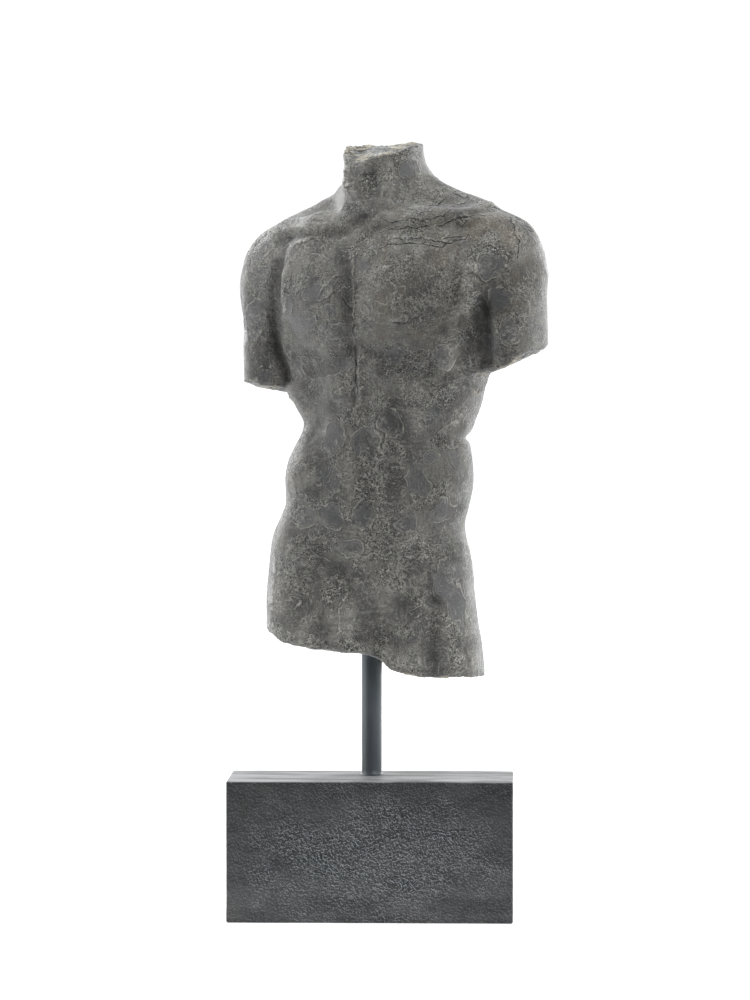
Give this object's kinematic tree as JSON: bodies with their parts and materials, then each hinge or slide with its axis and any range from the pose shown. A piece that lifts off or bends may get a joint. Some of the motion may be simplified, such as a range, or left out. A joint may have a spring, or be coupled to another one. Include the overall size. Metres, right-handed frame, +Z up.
{
  "type": "resin torso statue",
  "caption": "Cast resin male torso, broken at neck, arms and thighs, held by a round steel post above a plain rectangular block; an ornament for a shelf, sideboard or floor.",
  "frame": {"origin": "middle of the block's underside", "axes": "+Z up along the post; -Y is the way the block's wide front face looks; +X is the figure's left, the viewer's right from the front"},
  "size_m": [0.2958, 0.1762, 0.7185],
  "materials": {
    "resin": "cast polyresin, slate grey, washed with lighter grey and brown in its cracks and raised veins",
    "steel": "satin slate-grey coated steel tube",
    "stone": "cast charcoal block with a finely pitted, slightly sheened skin"
  },
  "bodies": {
    "root": {"torso": "resin", "post": "steel", "block": "stone"}
  },
  "joints": []
}
